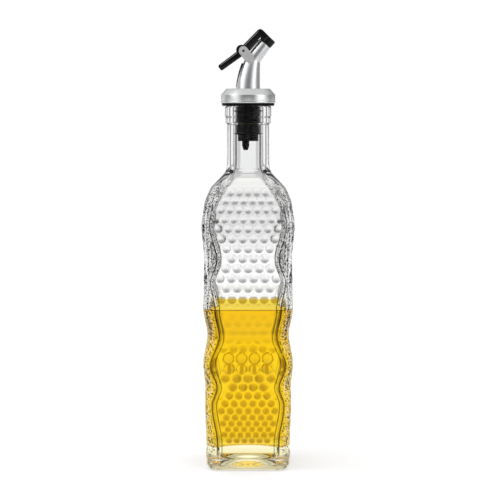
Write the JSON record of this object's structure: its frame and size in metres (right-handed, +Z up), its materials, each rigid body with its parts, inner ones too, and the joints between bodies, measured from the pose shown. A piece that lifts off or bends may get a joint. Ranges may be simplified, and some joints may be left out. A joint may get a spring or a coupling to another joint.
{
  "type": "oil dispenser",
  "caption": "Square wavy glass bottle part filled with oil, with a ribbed black stopper, a satin collar and a bent metal pouring spout under a tipping flip lid.",
  "frame": {"origin": "middle of the bottle's footprint, on the surface that it stands on", "axes": "+Z up along the bottle's axis, +X the way the spout pours, -Y towards someone who sees the spout point right"},
  "size_m": [0.0634, 0.0634, 0.3021],
  "materials": {
    "glass": "clear, pressed with round bumps",
    "oil": "clear golden yellow liquid",
    "stopper": "satin black",
    "collar": "satin brushed round",
    "spout": "polished",
    "liner": "satin black",
    "pin": "satin black",
    "lid": "semi-gloss black"
  },
  "bodies": {
    "dispenser": {"bottle": "glass", "oil": "oil", "stopper": "stopper", "collar": "collar", "spout": "spout", "liner": "liner", "hinge_pin": "pin"},
    "lid": {"flip_lid": "lid"}
  },
  "joints": [
    {"name": "lid_hinge", "type": "hinge", "parent": "dispenser", "child": "lid", "pos_m": [-0.0032, 0, 0.28725], "axis": [0, -1, 0], "range_deg": [0, 24]}
  ]
}
